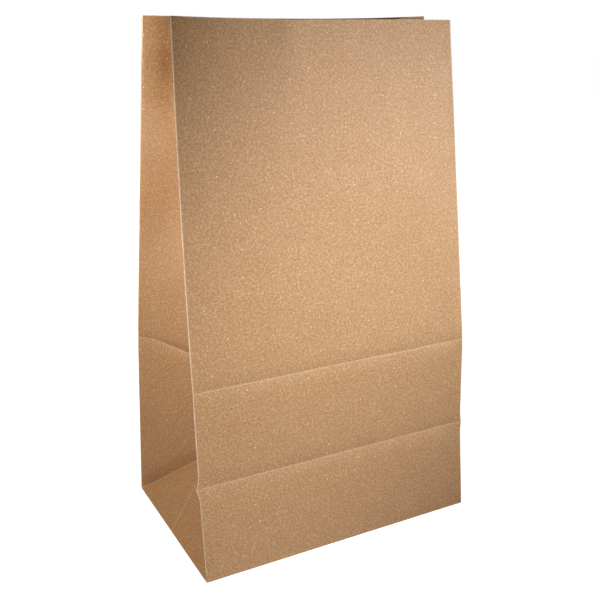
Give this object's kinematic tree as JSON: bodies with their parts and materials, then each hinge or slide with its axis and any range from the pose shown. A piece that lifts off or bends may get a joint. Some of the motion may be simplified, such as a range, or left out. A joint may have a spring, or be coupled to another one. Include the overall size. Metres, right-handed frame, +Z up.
{
  "type": "paper lunch bag",
  "caption": "Folded brown kraft paper bag with a flat block bottom, side gussets and an open mouth, for carrying a lunch.",
  "frame": {"origin": "middle of the bottom, on the surface that the bag stands on", "axes": "+Z up towards the open mouth, +X to the right along the wide front panel, +Y from the front panel to the back panel, through the bag's depth"},
  "size_m": [0.1544, 0.0944, 0.2547],
  "materials": {
    "kraft_paper": "matt unbleached kraft paper with a fine fibre mottle"
  },
  "bodies": {
    "root": {"paper_bag": "kraft_paper"}
  },
  "joints": []
}
